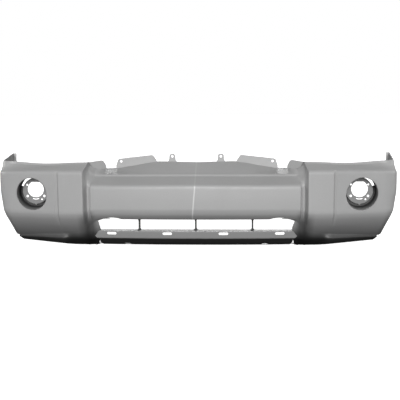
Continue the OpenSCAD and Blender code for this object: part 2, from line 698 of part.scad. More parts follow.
module clip_nut() {
    difference() {
        union() {
            translate([-clip_tail, -clip_w / 2, clip_gap]) cube([clip_tail + clip_reach, clip_w, clip_t]);
            translate([-clip_tail, -clip_w / 2, -wall - clip_gap - clip_t])
                cube([clip_tail + clip_reach, clip_w, clip_t]);
            translate([clip_reach, -clip_w / 2, -wall - clip_gap - clip_t])
                cube([clip_t, clip_w, wall + 2 * (clip_gap + clip_t)]);
            translate([0, 0, -wall - clip_gap - clip_t - clip_barrel_h])
                cylinder(r = clip_barrel_r, h = clip_barrel_h + 0.2);
        }
        translate([0, 0, -20]) cylinder(r = clip_bore_r, h = 40);
    }
}

module clip_nuts() {
    for (row = arch_rows) on_arch(row) clip_nut();
}

module arch_clip_nuts_left() {
    color(zinc) seated() sided(LEFT) clip_nuts();
}

module arch_clip_nuts_right() {
    color(zinc) seated() sided(RIGHT) clip_nuts();
}

// ---- Push-type retainers ----

sleeve_r = 4;
sleeve_bore_r = 2.6;
retainer_pin_r = 2.55;
pin_head_r = 5.5;

// The body: a flat head under the floor and a hollow shank that ends in a flared collar.
module retainer() {
    rotate_extrude() polygon([[sleeve_bore_r, -1.7], [9, -1.5], [9, 0], [sleeve_r, 0], [sleeve_r, 6.6],
        [5.6, 7.2],
        [5.6, 8.2], [sleeve_r - 0.4, 14], [sleeve_bore_r, 14]]);
}

module retainer_pin() {
    translate([0, 0, -pin_out]) rotate_extrude()
        polygon([[0, -3.6], [pin_head_r - 1, -3.6], [pin_head_r, -3.0],
        [pin_head_r, -2.0], [retainer_pin_r, -2.0], [retainer_pin_r, 15], [1.4, 17.5], [0, 17.5]]);
}

module at_retainer(side, n) {
    translate([side * retainer_xs[n], retainer_y, 0]) children();
}

module valance_retainer_1() {
    color(black) seated() at_retainer(RIGHT, 1) retainer();
}

module valance_retainer_2() {
    color(black) seated() at_retainer(RIGHT, 0) retainer();
}

module valance_retainer_3() {
    color(black) seated() at_retainer(LEFT, 0) retainer();
}

module valance_retainer_4() {
    color(black) seated() at_retainer(LEFT, 1) retainer();
}

module valance_retainer_pin_1() {
    color(black) seated() at_retainer(RIGHT, 1) retainer_pin();
}

module valance_retainer_pin_2() {
    color(black) seated() at_retainer(RIGHT, 0) retainer_pin();
}

module valance_retainer_pin_3() {
    color(black) seated() at_retainer(LEFT, 0) retainer_pin();
}

module valance_retainer_pin_4() {
    color(black) seated() at_retainer(LEFT, 1) retainer_pin();
}

bumper_cover();
lower_valance();
intake_grille();
fog_bracket_left();
fog_bracket_right();
fog_bracket_screws_left();
fog_bracket_screws_right();
side_rail_left();
side_rail_right();
side_rail_screws_left();
side_rail_screws_right();
arch_clip_nuts_left();
arch_clip_nuts_right();
grille_screws_upper();
grille_screws_lower();
valance_retainer_1();
valance_retainer_2();
valance_retainer_3();
valance_retainer_4();
valance_retainer_pin_1();
valance_retainer_pin_2();
valance_retainer_pin_3();
valance_retainer_pin_4();
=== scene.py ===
"""Looks of the front bumper cover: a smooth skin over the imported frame, its materials, light and camera.

Lengths are in the part's own millimetres (x to the vehicle's left, y to the rear, z up from the lowest
point) and become metres in the row's frame in to_row().
"""
import json
import math

import bmesh
import bpy
import numpy as np
from mathutils import Matrix, Vector


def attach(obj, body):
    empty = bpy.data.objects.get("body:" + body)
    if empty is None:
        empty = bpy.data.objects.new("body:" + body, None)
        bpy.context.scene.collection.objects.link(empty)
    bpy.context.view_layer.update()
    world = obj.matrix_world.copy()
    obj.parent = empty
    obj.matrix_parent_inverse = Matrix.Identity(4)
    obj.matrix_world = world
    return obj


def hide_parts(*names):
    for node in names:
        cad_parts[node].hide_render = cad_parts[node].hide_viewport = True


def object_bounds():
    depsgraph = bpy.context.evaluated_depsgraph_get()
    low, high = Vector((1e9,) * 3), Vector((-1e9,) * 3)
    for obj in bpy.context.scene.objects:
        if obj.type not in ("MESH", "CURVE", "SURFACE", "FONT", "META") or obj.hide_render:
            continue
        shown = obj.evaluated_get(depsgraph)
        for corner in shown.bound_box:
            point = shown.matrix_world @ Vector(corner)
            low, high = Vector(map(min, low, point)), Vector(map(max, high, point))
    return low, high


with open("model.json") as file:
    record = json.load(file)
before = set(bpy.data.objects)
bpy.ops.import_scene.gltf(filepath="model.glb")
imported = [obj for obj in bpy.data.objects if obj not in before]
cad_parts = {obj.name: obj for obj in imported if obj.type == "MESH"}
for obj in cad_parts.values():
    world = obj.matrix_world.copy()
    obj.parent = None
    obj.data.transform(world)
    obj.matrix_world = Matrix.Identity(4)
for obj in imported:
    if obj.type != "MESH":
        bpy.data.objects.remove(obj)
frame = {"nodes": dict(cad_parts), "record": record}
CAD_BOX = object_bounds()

# ---- Driving dimensions, mm ----

MM, SMALL = 0.001, 1e-6
ORIGIN = np.array([0.0, 188.0, 390.0])      # the row's origin: middle of the centre tabs' hole line
WALL = 3.0
SIDES = (1, -1)

BOW_TURN, WING_IN_TURN, WING_TURN, SIDE_TURN = 5, 7, 15, 84     # headings of the guide, degrees
BEND, GUIDE_Y0, GUIDE_STEP = 10, -14, 4.0
WING_EDGE, WING_GROOVE = 491, 606
CORNER_START, CORNER_END, SIDE_END = 834, 946, 1270
CORNER_MID = (CORNER_START + CORNER_END) / 2
BAND_TOP, BAND_BOTTOM, STEP_HEIGHT, LEDGE_TOP = 269, 172, 311, 364
INNER_EDGE, CENTRE_END, BAND_END, DIP, BEAD, INNER_WALL, WALL_MID = 436, 450, 459, 465, 471, 477, 484
COLUMN_START, COLUMN_END, LIP_START, LIP_MID, LIP_END = 515, 560, 592, 700, 826
FLAT_END = 538                              # the wings' floor is flat as far as here, past the valance's feet
RETURN_Z, RETURN_OUT = 123.5, -66

TAB_X, TAB_Z, TAB_Y, TAB_T = 110, 390, 188, 3
OUTER_TAB_X, OUTER_HOLE_Z, TAB_HOLE_R = 343, 368, 5.5
CORNER_TAB = (474, 112, 143)                # x, y and turn of the oblique tab

LAMP_X, LAMP_Z, POCKET_R, POCKET_WALL = 724, 234, 71, 3
POCKET_TILT, POCKET_MOUTH_Y, POCKET_BACK = 5, 54, 139
SEAT_R, SEAT_T = 87, 3
SEAT_Z = LAMP_Z + (POCKET_BACK - POCKET_MOUTH_Y) * math.tan(math.radians(POCKET_TILT))
POCKET_SIDES, MOUTH_GAP = 144, 0.15         # facets round a pocket; its mouth's distance behind the face
PLATE_FRONT = POCKET_BACK - 15              # front face of the lamp bracket's plate
BOSS_R, BOSS_H, BOSS_AT, PILOT_R = 6, 10, 78, 2.1
BOSS_ANGLES = (45, 135, 225, 315)

HOOK_X, BUMP_R, BUMP_RISE, BUMP_HALF = 366, 112, 9, 44     # the raised arcs on the intake's top edge
BUMP_FRONT, BUMP_DEPTH = -20, 85
ARCH_HOLE_ROWS, ARCH_HOLE_R = (2, 4, 6), 4
RAIL_S, RAIL_Z, RAIL_BOSS_H = (1010, 1075, 1140), 262, 8
RETAINER_XS, RETAINER_Y, RETAINER_HOLE_R = (452, 484), 124, 4.2
GRILLE_SCREW_XS, GRILLE_SCREW_Y, GRILLE_LOW_SCREW_Y = (-290, -145, 0, 145, 290), 46.5, 60

SLOT_PITCH, SLOT_LENGTH, SLOT_WIDTH, SLOT_Z = 246, 42, 13, 63.3
SLOT_NEAR, SLOT_FAR = -25, -48.5
BELLY_X, BELLY_Y, BELLY_HALF_LENGTH, BELLY_R = 304, 92, 17, 11
BAR_TOP_Z, SHELF_Z = 74.5, 68.8
SHELF_SCREW_R = 2.5
FOOT_START, FOOT_END, FOOT_T, FOOT_GAP = 400, 504, 3, 0.2     # the valance's feet on the wings' floor
FOOT_FRONT, FOOT_BACK = RETAINER_Y - 12, RETAINER_Y + 14

# Key lines of the section: (length along the guide, stand-out, height), in mm
rim = [[0, -204, LEDGE_TOP], [176, -202, LEDGE_TOP + 4], [310, -196, 349], [400, -190, 338],
    [CENTRE_END, -142, 340], [BAND_END, -138, 341], [INNER_WALL, -128, 348], [WALL_MID, -119, 369],
    [WING_EDGE, -64, 374], [LIP_MID, -62, 367], [CORNER_START, -58, 373], [CORNER_END, -16, 377],
    [SIDE_END, -4, 388]]
rim_in = [[0, -197, LEDGE_TOP - 3], [176, -195, LEDGE_TOP + 1], [310, -189, 346], [400, -182, 335],
    [CENTRE_END, -134, 337], [BAND_END, -130, 338], [INNER_WALL, -120, 343], [WALL_MID, -111, 362],
    [WING_EDGE, -59, 367], [LIP_MID, -57, 358], [CORNER_START, -53, 362], [CORNER_END, -13, 366],
    [SIDE_END, -4, 354]]
step_top = [[0, -94, STEP_HEIGHT + 8], [CENTRE_END, -98, STEP_HEIGHT + 6],
    [BAND_END, -98, STEP_HEIGHT + 6], [INNER_WALL, -88, 326], [WALL_MID, -74, 345], [WING_EDGE, -42, 358],
    [LIP_MID, -40, 352], [CORNER_START, -38, 350], [CORNER_END, -12, 352], [SIDE_END, -3, 338]]
step_low = [[0, -90, STEP_HEIGHT], [CENTRE_END, -94, STEP_HEIGHT - 2], [BAND_END, -92, STEP_HEIGHT],
    [INNER_WALL, -78, 318], [WALL_MID, -60, 335], [WING_EDGE, -27, 350], [LIP_MID, -26, 346],
    [CORNER_START, -25, 343], [CORNER_END, -8, 343], [SIDE_END, -2, 325]]
ledge = [[0, -25, BAND_TOP + 15], [BAND_END, -32, BAND_TOP + 11], [DIP, -39, BAND_TOP + 14],
    [BEAD, -43, BAND_TOP + 19], [INNER_WALL, -46, BAND_TOP + 29], [WALL_MID, -34, BAND_TOP + 47],
    [WING_EDGE, -9, 342], [LIP_MID, -9, 339], [CORNER_START, -8, 335], [CORNER_END, -6, 332],
    [SIDE_END, -1, 312]]
shoulder = [[0, -17.5, BAND_TOP + 9], [BAND_END, -24.5, BAND_TOP + 5], [DIP, -35, BAND_TOP + 7],
    [BEAD, -36, BAND_TOP + 10], [INNER_WALL, -39, BAND_TOP + 20], [WALL_MID, -27, BAND_TOP + 37],
    [WING_EDGE, -3, 336], [LIP_MID, -3, 334], [CORNER_START, -2, 330], [CORNER_END, -2, 326],
    [SIDE_END, 0, 298]]
face_top = [[0, -14, BAND_TOP], [BAND_END, -21, BAND_TOP - 4], [DIP, -36, BAND_TOP - 2],
    [BEAD, -31, BAND_TOP - 1], [INNER_WALL, -34, BAND_TOP + 8], [WALL_MID, -21, BAND_TOP + 27],
    [WING_EDGE, 0, 329], [LIP_MID, 0, 327], [CORNER_START, 0, 323], [CORNER_END, 0, 318],
    [SIDE_END, 0, 285]]
face_mid = [[0, -13, 220], [BAND_END, -20, 218], [DIP, -36, 220], [BEAD, -30, 223],
    [INNER_WALL, -32, 225], [WING_EDGE, 0, 236], [CORNER_START, 0, 236], [SIDE_END, 0, 236]]
face_low = [[0, -14, BAND_BOTTOM], [BAND_END, -21, BAND_BOTTOM - 3], [DIP, -36, 168], [BEAD, -30, 166],
    [INNER_WALL, -32, 163], [WING_EDGE, 0, 152], [CORNER_START, 0, 150], [CORNER_MID, -6, 152],
    [CORNER_END, -12, 155], [SIDE_END, -6, 160]]
turn_in = [[0, -22, 147], [BAND_END, -29, 144], [DIP, -41, 143], [BEAD, -37, 142], [INNER_WALL, -37, 140],
    [WING_EDGE, -5, 134], [CORNER_START, -5, 131], [CORNER_MID, -15, 128], [CORNER_END, -24, 128],
    [SIDE_END, -14, 130]]
low_edge = [[0, -44, 124.5], [INNER_EDGE, -46, 124], [CENTRE_END, -47, 122], [BAND_END, -49, 119],
    [BEAD, -47, 112], [INNER_WALL, -43, 108], [WING_EDGE, -28, 102], [COLUMN_START, -24, 99],
    [CORNER_START, -26, 92], [CORNER_MID, -38, 88], [CORNER_END, -40, 92], [SIDE_END, -26, 100]]
chamfer = [[0, RETURN_OUT, RETURN_Z], [400, RETURN_OUT, RETURN_Z], [INNER_EDGE, -58, 117],
    [CENTRE_END, -57, 111], [BAND_END, -56, 104], [BEAD, -54, 92], [INNER_WALL, -51, 86],
    [WING_EDGE, -43, 75], [COLUMN_END, -44, 63], [LIP_START, -50, 57], [LIP_MID, -50, 50],
    [LIP_END, -52, 41], [CORNER_MID, -62, 42], [CORNER_END, -60, 48], [SIDE_END, -38, 62]]
lip = [[INNER_EDGE, -64, 84], [CENTRE_END, -63, 79], [BAND_END, -62, 72], [BEAD, -61, 61],
    [INNER_WALL, -60, 57], [WING_EDGE, -57, 48], [COLUMN_START, -53, 42], [COLUMN_END, -52, 40],
    [LIP_START, -41, 38], [LIP_MID, -41, 38], [LIP_END, -43, 36]]
under = [[INNER_EDGE, -76, 40], [CENTRE_END, -75, 37], [BAND_END, -74, 33], [INNER_WALL, -72, 26],
    [WING_EDGE, -69, 22], [COLUMN_END, -66, 20], [LIP_START, -60, 19], [LIP_MID, -60, 23],
    [LIP_END, -60, 27]]
under_rear = [[INNER_EDGE, -106, 0], [BAND_END, -100, 0], [WING_EDGE, -94, 0], [FLAT_END, -91, 0],
    [LIP_START, -88, 2], [LIP_END, -84, 14]]
floor_rear = [[INNER_EDGE, -146, 0], [BAND_END, -142, 0], [WING_EDGE, -134, 0], [FLAT_END, -128, 0],
    [LIP_START, -122, 2], [LIP_END, -106, 12]]
KEYS = [rim, rim_in, step_top, step_low, ledge, shoulder, face_top, face_mid, face_low, turn_in, low_edge,
    chamfer, lip, under, under_rear, floor_rear]
SHOULDER, TURN_IN, CHAMFER = 5, 9, 11
ARCH = [[0, 1060], [60, 1066], [90, 1091], [130, 1121], [180, 1156], [230, 1186], [280, 1209],
    [330, 1227], [390, 1240]]
ARCH_FLANGE, EAR_FLANGE = 24, 18
LEAN = [10, 9, 7, 5, 2]
LEAN_SHARE = [[BAND_END, 0], [INNER_WALL, 1], [WALL_MID, 0.1], [WING_EDGE, 1], [COLUMN_END, 0]]
EDGE_SHIFT = [6, -7, -2, 10, 10]
GROOVE_DEPTH, GROOVE_HALF = 5.5, 8
BAR_KEYS = [[-102, 426, SHELF_Z], [-56, 426, SHELF_Z], [-49, 427, BAR_TOP_Z], [-38, 428, BAR_TOP_Z],
            [-35, 430, BAR_TOP_Z - 2], [-45, 449, 49], [-48, 440, 41], [-52, 433, 36], [-78, 433, 16],
            [-104, 424, 1], [-148, 424, 2]]     # stand-out, half width, height

# The most that each key line's corner is rounded by, mm
ROUND = [2, 2, 5, 5, 8, 9, 9, 14, 5, 10, 6, 5, 5, 5, 6, 4]
BAR_ROUND = [2, 2, 1.2, 1.2, 1.2, 2, 4, 4, 8, 8, 2]
ROUND_POINTS = 4


# ---- Curves ----

def smooth_lookup(table, q):
    """A monotone cubic through the table's (first, second) columns, so it never runs past a key value."""
    x = np.array([p[0] for p in table], float)
    y = np.array([p[1] for p in table], float)
    h = np.diff(x)
    slope = np.diff(y) / h
    m = np.concatenate([[slope[0]], np.zeros(len(slope) - 1), [slope[-1]]])
    for i in range(1, len(slope)):
        if slope[i - 1] * slope[i] > 0:
            w0, w1 = 2 * h[i] + h[i - 1], h[i] + 2 * h[i - 1]
            m[i] = (w0 + w1) / (w0 / slope[i - 1] + w1 / slope[i])
    q = np.clip(np.asarray(q, float), x[0], x[-1])
    i = np.clip(np.searchsorted(x, q, "right") - 1, 0, len(h) - 1)
    t = (q - x[i]) / h[i]
    return ((1 + 2 * t) * (1 - t) ** 2 * y[i] + t * (1 - t) ** 2 * h[i] * m[i]
            + t * t * (3 - 2 * t) * y[i + 1] + t * t * (t - 1) * h[i] * m[i + 1])


def ramp(s, a, b):
    """0 before a, 1 after b and straight between them."""
    return np.clip((s - a) / (b - a), 0, 1)


def heading(s):
    """Heading of the guide at the length s, radians."""
    return np.radians(BOW_TURN * ramp(s, 0, WING_EDGE)
                      + (WING_IN_TURN - BOW_TURN) * ramp(s, WING_EDGE, WING_EDGE + BEND)
                      + (WING_TURN - WING_IN_TURN) * ramp(s, WING_GROOVE - BEND, WING_GROOVE + BEND)
                      + (SIDE_TURN - WING_TURN) * ramp(s, CORNER_START, CORNER_END))


GUIDE_S = np.arange(0, SIDE_END + GUIDE_STEP, GUIDE_STEP)
GUIDE_TURN = heading(GUIDE_S[:-1] + GUIDE_STEP / 2)
GUIDE_X = np.concatenate([[0], np.cumsum(GUIDE_STEP * np.cos(GUIDE_TURN))])
GUIDE_Y = GUIDE_Y0 + np.concatenate([[0], np.cumsum(GUIDE_STEP * np.sin(GUIDE_TURN))])


def at(s, o, z):
    """A point that stands out by o from the guide at the length s, at height z."""
    a, h = abs(s), heading(abs(s))
    side = -1 if s < 0 else 1
    return np.array([side * (np.interp(a, GUIDE_S, GUIDE_X) + o * math.sin(h)),
                     np.interp(a, GUIDE_S, GUIDE_Y) - o * math.cos(h), z])


def guide_y_at(x):
    """How far back the guide is at the distance x from the centre plane."""
    return float(np.interp(abs(x), GUIDE_X, GUIDE_Y))


# ---- The cover's section ----

def key_at(k, s):
    """Stand-out and height of key line k at the length s."""
    key = KEYS[k]
    return (float(smooth_lookup([(p[0], p[1]) for p in key], s)),
            float(smooth_lookup([(p[0], p[2]) for p in key], s)))


def front_point(k, s, side):
    """A point of key line k on the front, with the groove, the leaning wall and the slanted free edge."""
    out, z = key_at(k, s)
    if SHOULDER <= k <= TURN_IN:
        out -= GROOVE_DEPTH * max(0.0, 1 - abs(s - WING_GROOVE) / GROOVE_HALF)
    shift = 0
    if k < len(LEAN) and BAND_END < s < COLUMN_END:
        shift = LEAN[k] * float(smooth_lookup(LEAN_SHARE, s))
    if k >= CHAMFER:
        shift -= EDGE_SHIFT[k - CHAMFER] * ramp(-s, -INNER_EDGE - 14, -INNER_EDGE) * (s >= INNER_EDGE)
    return at(side * (s - shift + SMALL), out, z)


def side_point(k, share, side, inward=0):
    """A point of key line k on the side panel; share runs from the corner to the wheel arch."""
    o0, z0 = key_at(k, CORNER_END)
    o1, z1 = key_at(k, SIDE_END)
    run = np.interp(z1, [a[0] for a in ARCH], [a[1] for a in ARCH]) - CORNER_END
    return at(side * (CORNER_END + run * share), o0 + (o1 - o0) * share - inward, z0 + (z1 - z0) * share)


def rounded(points, radii):
    """The section through points with each inner corner rounded, always with the same number of rows."""
    rows = [points[0]]
    for k in range(1, len(points) - 1):
        a, p, b = points[k - 1], points[k], points[k + 1]
        la, lb = np.linalg.norm(a - p), np.linalg.norm(b - p)
        da, db = min(0.45 * la, radii[k]), min(0.45 * lb, radii[k])
        pa = p + (a - p) * (da / la if la else 0)
        pb = p + (b - p) * (db / lb if lb else 0)
        for t in np.linspace(0, 1, ROUND_POINTS):
            rows.append((1 - t) ** 2 * pa + 2 * t * (1 - t) * p + t * t * pb)
    rows.append(points[-1])
    return rows


UPPER_ROWS = 1 + (CHAMFER - 1) * ROUND_POINTS           # rows before the chamfer's own corner
CHAMFER_ROW = UPPER_ROWS + ROUND_POINTS - 1             # the last row of the cover where there is no lip
FULL_ROWS = 2 + (len(KEYS) - 2) * ROUND_POINTS


# (from, to, step) along the front: fine where the section changes fast
STATION_STEPS = [(0, 430, 8), (430, INNER_EDGE, 3), (INNER_EDGE, 500, 1.6),
    (500, WING_GROOVE - GROOVE_HALF, 7), (WING_GROOVE - GROOVE_HALF, WING_GROOVE + GROOVE_HALF, 1),
    (WING_GROOVE + GROOVE_HALF, LIP_END, 8), (LIP_END, CORNER_START, 4), (CORNER_START, CORNER_END, 4)]
SIDE_COLUMNS = 24
FLANGE_SHARES = (0.12, 0.5, 1.0)        # columns across the arch flange; the first keeps its bend tight


def stations():
    """Lengths along the front, out to the corner's end."""
    out = []
    for a, b, step in STATION_STEPS:
        out += list(np.linspace(a, b, max(2, int(round((b - a) / step)) + 1))[:-1])
    return out + [CORNER_END]


def cover_columns():
    """[(rows of the section, whether the lip's rows are real)], from the right arch to the left one."""
    half = []
    for side in SIDES:
        cols = []
        for s in stations():
            in_lip = INNER_EDGE - SMALL <= s <= LIP_END + SMALL
            pts = [front_point(k, s, side) for k in range(len(KEYS) if in_lip else CHAMFER + 1)]
            cols.append((column_rows(pts, in_lip), in_lip))
        for share in np.linspace(0, 1, SIDE_COLUMNS + 1)[1:]:
            cols.append((column_rows([side_point(k, share, side) for k in range(CHAMFER + 1)], False), False))
        flange = [side_point(k, 1, side, EAR_FLANGE if k < 2 else ARCH_FLANGE) for k in range(CHAMFER + 1)]
        last = cols[-1][0]
        end = column_rows(flange, False)
        for share in FLANGE_SHARES:
            cols.append(([p + (q - p) * share for p, q in zip(last, end)], False))
        half.append(cols)
    return half[1][:0:-1] + half[0]


def column_rows(points, in_lip):
    """The rounded section at one station; where there is no lip, its rows end at the chamfer's point."""
    if in_lip:
        return rounded(points, ROUND)
    rows = rounded(points, ROUND[:CHAMFER + 1])[:UPPER_ROWS]
    rows += [points[CHAMFER] + (rows[-1] - points[CHAMFER]) * (1 - t) * 0.4
             for t in np.linspace(0, 1, ROUND_POINTS)]
    return rows + [points[CHAMFER]] * (FULL_ROWS - len(rows))


# ---- Meshes ----

def to_row(points):
    """Points of the part's millimetres as metres in the row's frame."""
    return (np.asarray(points, float) - ORIGIN) * MM


def row_y(y):
    return (y - ORIGIN[1]) * MM


def row_z(z):
    return (z - ORIGIN[2]) * MM


def make(name, verts, faces):
    """A mesh object from points in the part's millimetres, with unused points removed."""
    mesh = bpy.data.meshes.new(name)
    mesh.from_pydata([tuple(v) for v in to_row(verts)], [], [tuple(int(i) for i in f) for f in faces])
    mesh.update()
    obj = bpy.data.objects.new(name, mesh)
    bpy.context.scene.collection.objects.link(obj)
    bm = bmesh.new()
    bm.from_mesh(mesh)
    bmesh.ops.delete(bm, geom=[v for v in bm.verts if not v.link_faces], context="VERTS")
    bmesh.ops.recalc_face_normals(bm, faces=bm.faces)
    bm.to_mesh(mesh)
    bm.free()
    return obj


def shell(name, columns, has_cell, thickness):
    """A closed wall of the given thickness behind a grid of points; has_cell says which cells are real."""
    n, rows = len(columns), len(columns[0])
    verts = np.array([p for c in columns for p in c])
    outer = [(i * rows + k, (i + 1) * rows + k, (i + 1) * rows + k + 1, i * rows + k + 1)
             for i in range(n - 1) for k in range(rows - 1) if has_cell(i, k)]
    quads = np.array(outer)
    cross = np.cross(verts[quads[:, 2]] - verts[quads[:, 0]], verts[quads[:, 3]] - verts[quads[:, 1]])
    normal = np.zeros_like(verts)
    for j in range(4):
        np.add.at(normal, quads[:, j], cross)
    # Neighbours share their normals a little, so that the inner wall doesn't cross itself
    for _ in range(3):
        total = normal.copy()
        for j in range(4):
            np.add.at(total, quads[:, j], 0.25 * normal[quads[:, (j + 1) % 4]])
        normal = total
    length = np.linalg.norm(normal, axis=1, keepdims=True)
    normal = normal / np.where(length > 0, length, 1)
    inner = verts + thickness * normal      # the grid runs so that its normals point into the part
    edges = {(f[j], f[(j + 1) % 4]) for f in outer for j in range(4)}
    size = len(verts)
    faces = list(outer) + [tuple(size + v for v in reversed(f)) for f in outer]
    faces += [(b, a, a + size, b + size) for a, b in edges if (b, a) not in edges]
    return make(name, np.concatenate([verts, inner]), faces)


def ring_solid(name, loops):
    """A closed ring of sections: loops[j] is the whole section at step j round the ring."""
    n, m = len(loops), len(loops[0])
    verts = [p for loop in loops for p in loop]
    faces = [(j * m + i, ((j + 1) % n) * m + i, ((j + 1) % n) * m + (i + 1) % m, j * m + (i + 1) % m)
             for j in range(n) for i in range(m)]
    return make(name, verts, faces)


def rod(centre, axis, r, h, sides=48):
    """Points and faces of a cylinder that starts at centre and runs along axis."""
    axis = np.array(axis, float) / np.linalg.norm(axis)
    across = np.cross(axis, [0, 0, 1] if abs(axis[2]) < 0.9 else [1, 0, 0])
    across /= np.linalg.norm(across)
    up = np.cross(axis, across)
    turn = [2 * math.pi * i / sides for i in range(sides)]
    ends = [[np.array(centre, float) + axis * d + r * (math.cos(a) * across + math.sin(a) * up) for a in turn]
            for d in (0, h)]
    faces = [tuple(range(sides))[::-1], tuple(range(sides, 2 * sides))]
    faces += [(i, (i + 1) % sides, sides + (i + 1) % sides, sides + i) for i in range(sides)]
    return ends[0] + ends[1], faces


def prism(outline, to_point, h):
    """Points and faces of an outline of (u, v) pulled through h; to_point places (u, v, depth)."""
    n = len(outline)
    verts = [to_point(u, v, d) for d in (0, h) for u, v in outline]
    faces = [tuple(range(n))[::-1], tuple(range(n, 2 * n))]
    faces += [(i, (i + 1) % n, n + (i + 1) % n, n + i) for i in range(n)]
    return verts, faces


def joined(solids):
    """Points and faces of several solids as one set."""
    verts, faces = [], []
    for v, f in solids:
        faces += [tuple(i + len(verts) for i in face) for face in f]
        verts += list(v)
    return verts, faces


def cut(obj, solids):
    """Takes the solids out of obj. They don't touch each other."""
    tool = make("cutter", *joined(solids))
    mod = obj.modifiers.new("cut", "BOOLEAN")
    mod.operation, mod.object, mod.solver = "DIFFERENCE", tool, "MANIFOLD"
    apply_modifiers(obj)
    bpy.data.objects.remove(tool)


def apply_modifiers(obj):
    """Gives obj the mesh that its modifiers make, and drops them."""
    graph = bpy.context.evaluated_depsgraph_get()
    mesh = bpy.data.meshes.new_from_object(obj.evaluated_get(graph))
    obj.modifiers.clear()
    old, obj.data = obj.data, mesh
    bpy.data.meshes.remove(old)


def merge(objs, name):
    """One object from several, as separate closed shells."""
    bm = bmesh.new()
    for o in objs:
        bm.from_mesh(o.data)
    mesh = bpy.data.meshes.new(name)
    bm.to_mesh(mesh)
    bm.free()
    for o in objs:
        bpy.data.objects.remove(o)
    obj = bpy.data.objects.new(name, mesh)
    bpy.context.scene.collection.objects.link(obj)
    return obj


def smooth(obj, angle=32):
    """Smooth shading with the real edges kept sharp."""
    mesh = obj.data
    mesh.shade_smooth()
    bm = bmesh.new()
    bm.from_mesh(mesh)
    for e in bm.edges:
        e.smooth = len(e.link_faces) == 2 and e.calc_face_angle(0) < math.radians(angle)
    bm.to_mesh(mesh)
    bm.free()


def round_corners(outline, r):
    """An outline with its corners rounded by r."""
    out, n = [], len(outline)
    for i in range(n):
        a, p, b = (np.array(outline[j % n], float) for j in (i - 1, i, i + 1))
        la, lb = np.linalg.norm(a - p), np.linalg.norm(b - p)
        d = min(r, 0.4 * la, 0.4 * lb)
        pa, pb = p + (a - p) * d / la, p + (b - p) * d / lb
        out += [tuple((1 - t) ** 2 * pa + 2 * t * (1 - t) * p + t * t * pb) for t in np.linspace(0, 1, 5)]
    return out


# ---- The pieces ----

def tab_plates(side):
    """The three upright flanges on one half: [(outline in x and z, how it is placed, its hole's x and z)]."""
    def upright(y):
        return lambda u, v, d: np.array([side * u, y + d, v])
    x, y, turn = CORNER_TAB
    c, s = math.cos(math.radians(turn)), math.sin(math.radians(turn))
    def oblique(u, v, d):
        return np.array([side * (x + u * c + d * s), y + u * s - d * c, v])
    centre = [(TAB_X - 22, LEDGE_TOP - 2), (TAB_X - 15, LEDGE_TOP + 10), (TAB_X - 13, TAB_Z + 6),
        (TAB_X - 7, TAB_Z + 12), (TAB_X + 7, TAB_Z + 12), (TAB_X + 13, TAB_Z + 6),
        (TAB_X + 15, LEDGE_TOP + 12), (TAB_X + 21, LEDGE_TOP)]
    outer = [(178, LEDGE_TOP - 2), (183, 376), (199, 397), (303, 386), (352, 380), (357, 376), (366, 351),
        (366, 337), (300, 345)]
    corner = [(1, 366), (3, 371), (55, 376), (66, 375), (72, 370), (84, 350), (84, 337), (40, 337), (18, 345)]
    return [(centre, upright(TAB_Y), (TAB_X, TAB_Z)),
            (outer, upright(TAB_Y - 2), (OUTER_TAB_X, OUTER_HOLE_Z)), (corner, oblique, None)]


def tabs(side):
    out = []
    for outline, place, hole in tab_plates(side):
        plate = make("tab", *prism(round_corners(outline, 4), place, TAB_T))
        if hole:
            cut(plate, [rod((side * hole[0], TAB_Y - 8, hole[1]), (0, 1, 0), TAB_HOLE_R, 20)])
        out.append(plate)
    return out


def pocket(side):
    """The lamp pocket: a tilted tube with a rounded mouth, then the flat seat that the plate bolts to."""
    tilt = math.tan(math.radians(POCKET_TILT))
    mouth_r = POCKET_R + POCKET_WALL

    def point(a, r, y):
        z = LAMP_Z + (y - POCKET_MOUTH_Y) * tilt
        return np.array([side * (LAMP_X + r * math.cos(a)), y, z + r * math.sin(a)])

    def mouth_y(a):
        return guide_y_at(LAMP_X + mouth_r * math.cos(a)) + MOUTH_GAP

    loops = []
    for j in range(POCKET_SIDES):
        a = 2 * math.pi * j / POCKET_SIDES
        y0 = mouth_y(a)
        lip = [point(a, mouth_r - POCKET_WALL * math.sin(b), y0 + POCKET_WALL * (1 - math.cos(b)))
               for b in np.linspace(0, math.pi / 2, 6)]
        deep = [point(a, POCKET_R, y) for y in np.linspace(y0 + 6, POCKET_BACK, 8)]
        seat = [np.array([side * (LAMP_X + SEAT_R * math.cos(a)), y, SEAT_Z + SEAT_R * math.sin(a)])
                for y in (POCKET_BACK, POCKET_BACK - SEAT_T)]
        back = [point(a, mouth_r, y) for y in np.linspace(POCKET_BACK - SEAT_T, y0 + 2, 8)]
        loops.append(lip + deep + seat + back)
    out = [ring_solid("pocket", loops)]
    for a in BOSS_ANGLES:
        x, z = LAMP_X + BOSS_AT * math.cos(math.radians(a)), SEAT_Z + BOSS_AT * math.sin(math.radians(a))
        y0, y1 = POCKET_BACK - SEAT_T - BOSS_H, POCKET_BACK - SEAT_T
        out.append(make("boss", *rod((side * x, y0, z), (0, 1, 0), BOSS_R, y1 - y0 + 0.5, 24)))
    return out


def arch_hole(side, row):
    """Middle and direction of one hole in the flange along the wheel arch."""
    k = CHAMFER - row
    a, c = side_point(k, 1, side), side_point(k - 1, 1, side)
    b, d = side_point(k, 1, side, ARCH_FLANGE), side_point(k - 1, 1, side, ARCH_FLANGE)
    axis = np.cross(b - a, c - a)
    return (a + b + c + d) / 4, axis / np.linalg.norm(axis)


def pocket_bore(side):
    tilt = math.radians(POCKET_TILT)
    axis = np.array([0, math.cos(tilt), math.sin(tilt)])
    mouth = np.array([side * LAMP_X, POCKET_MOUTH_Y, LAMP_Z])
    return rod(mouth - 60 * axis, axis, POCKET_R + POCKET_WALL - 0.1, 150, POCKET_SIDES)


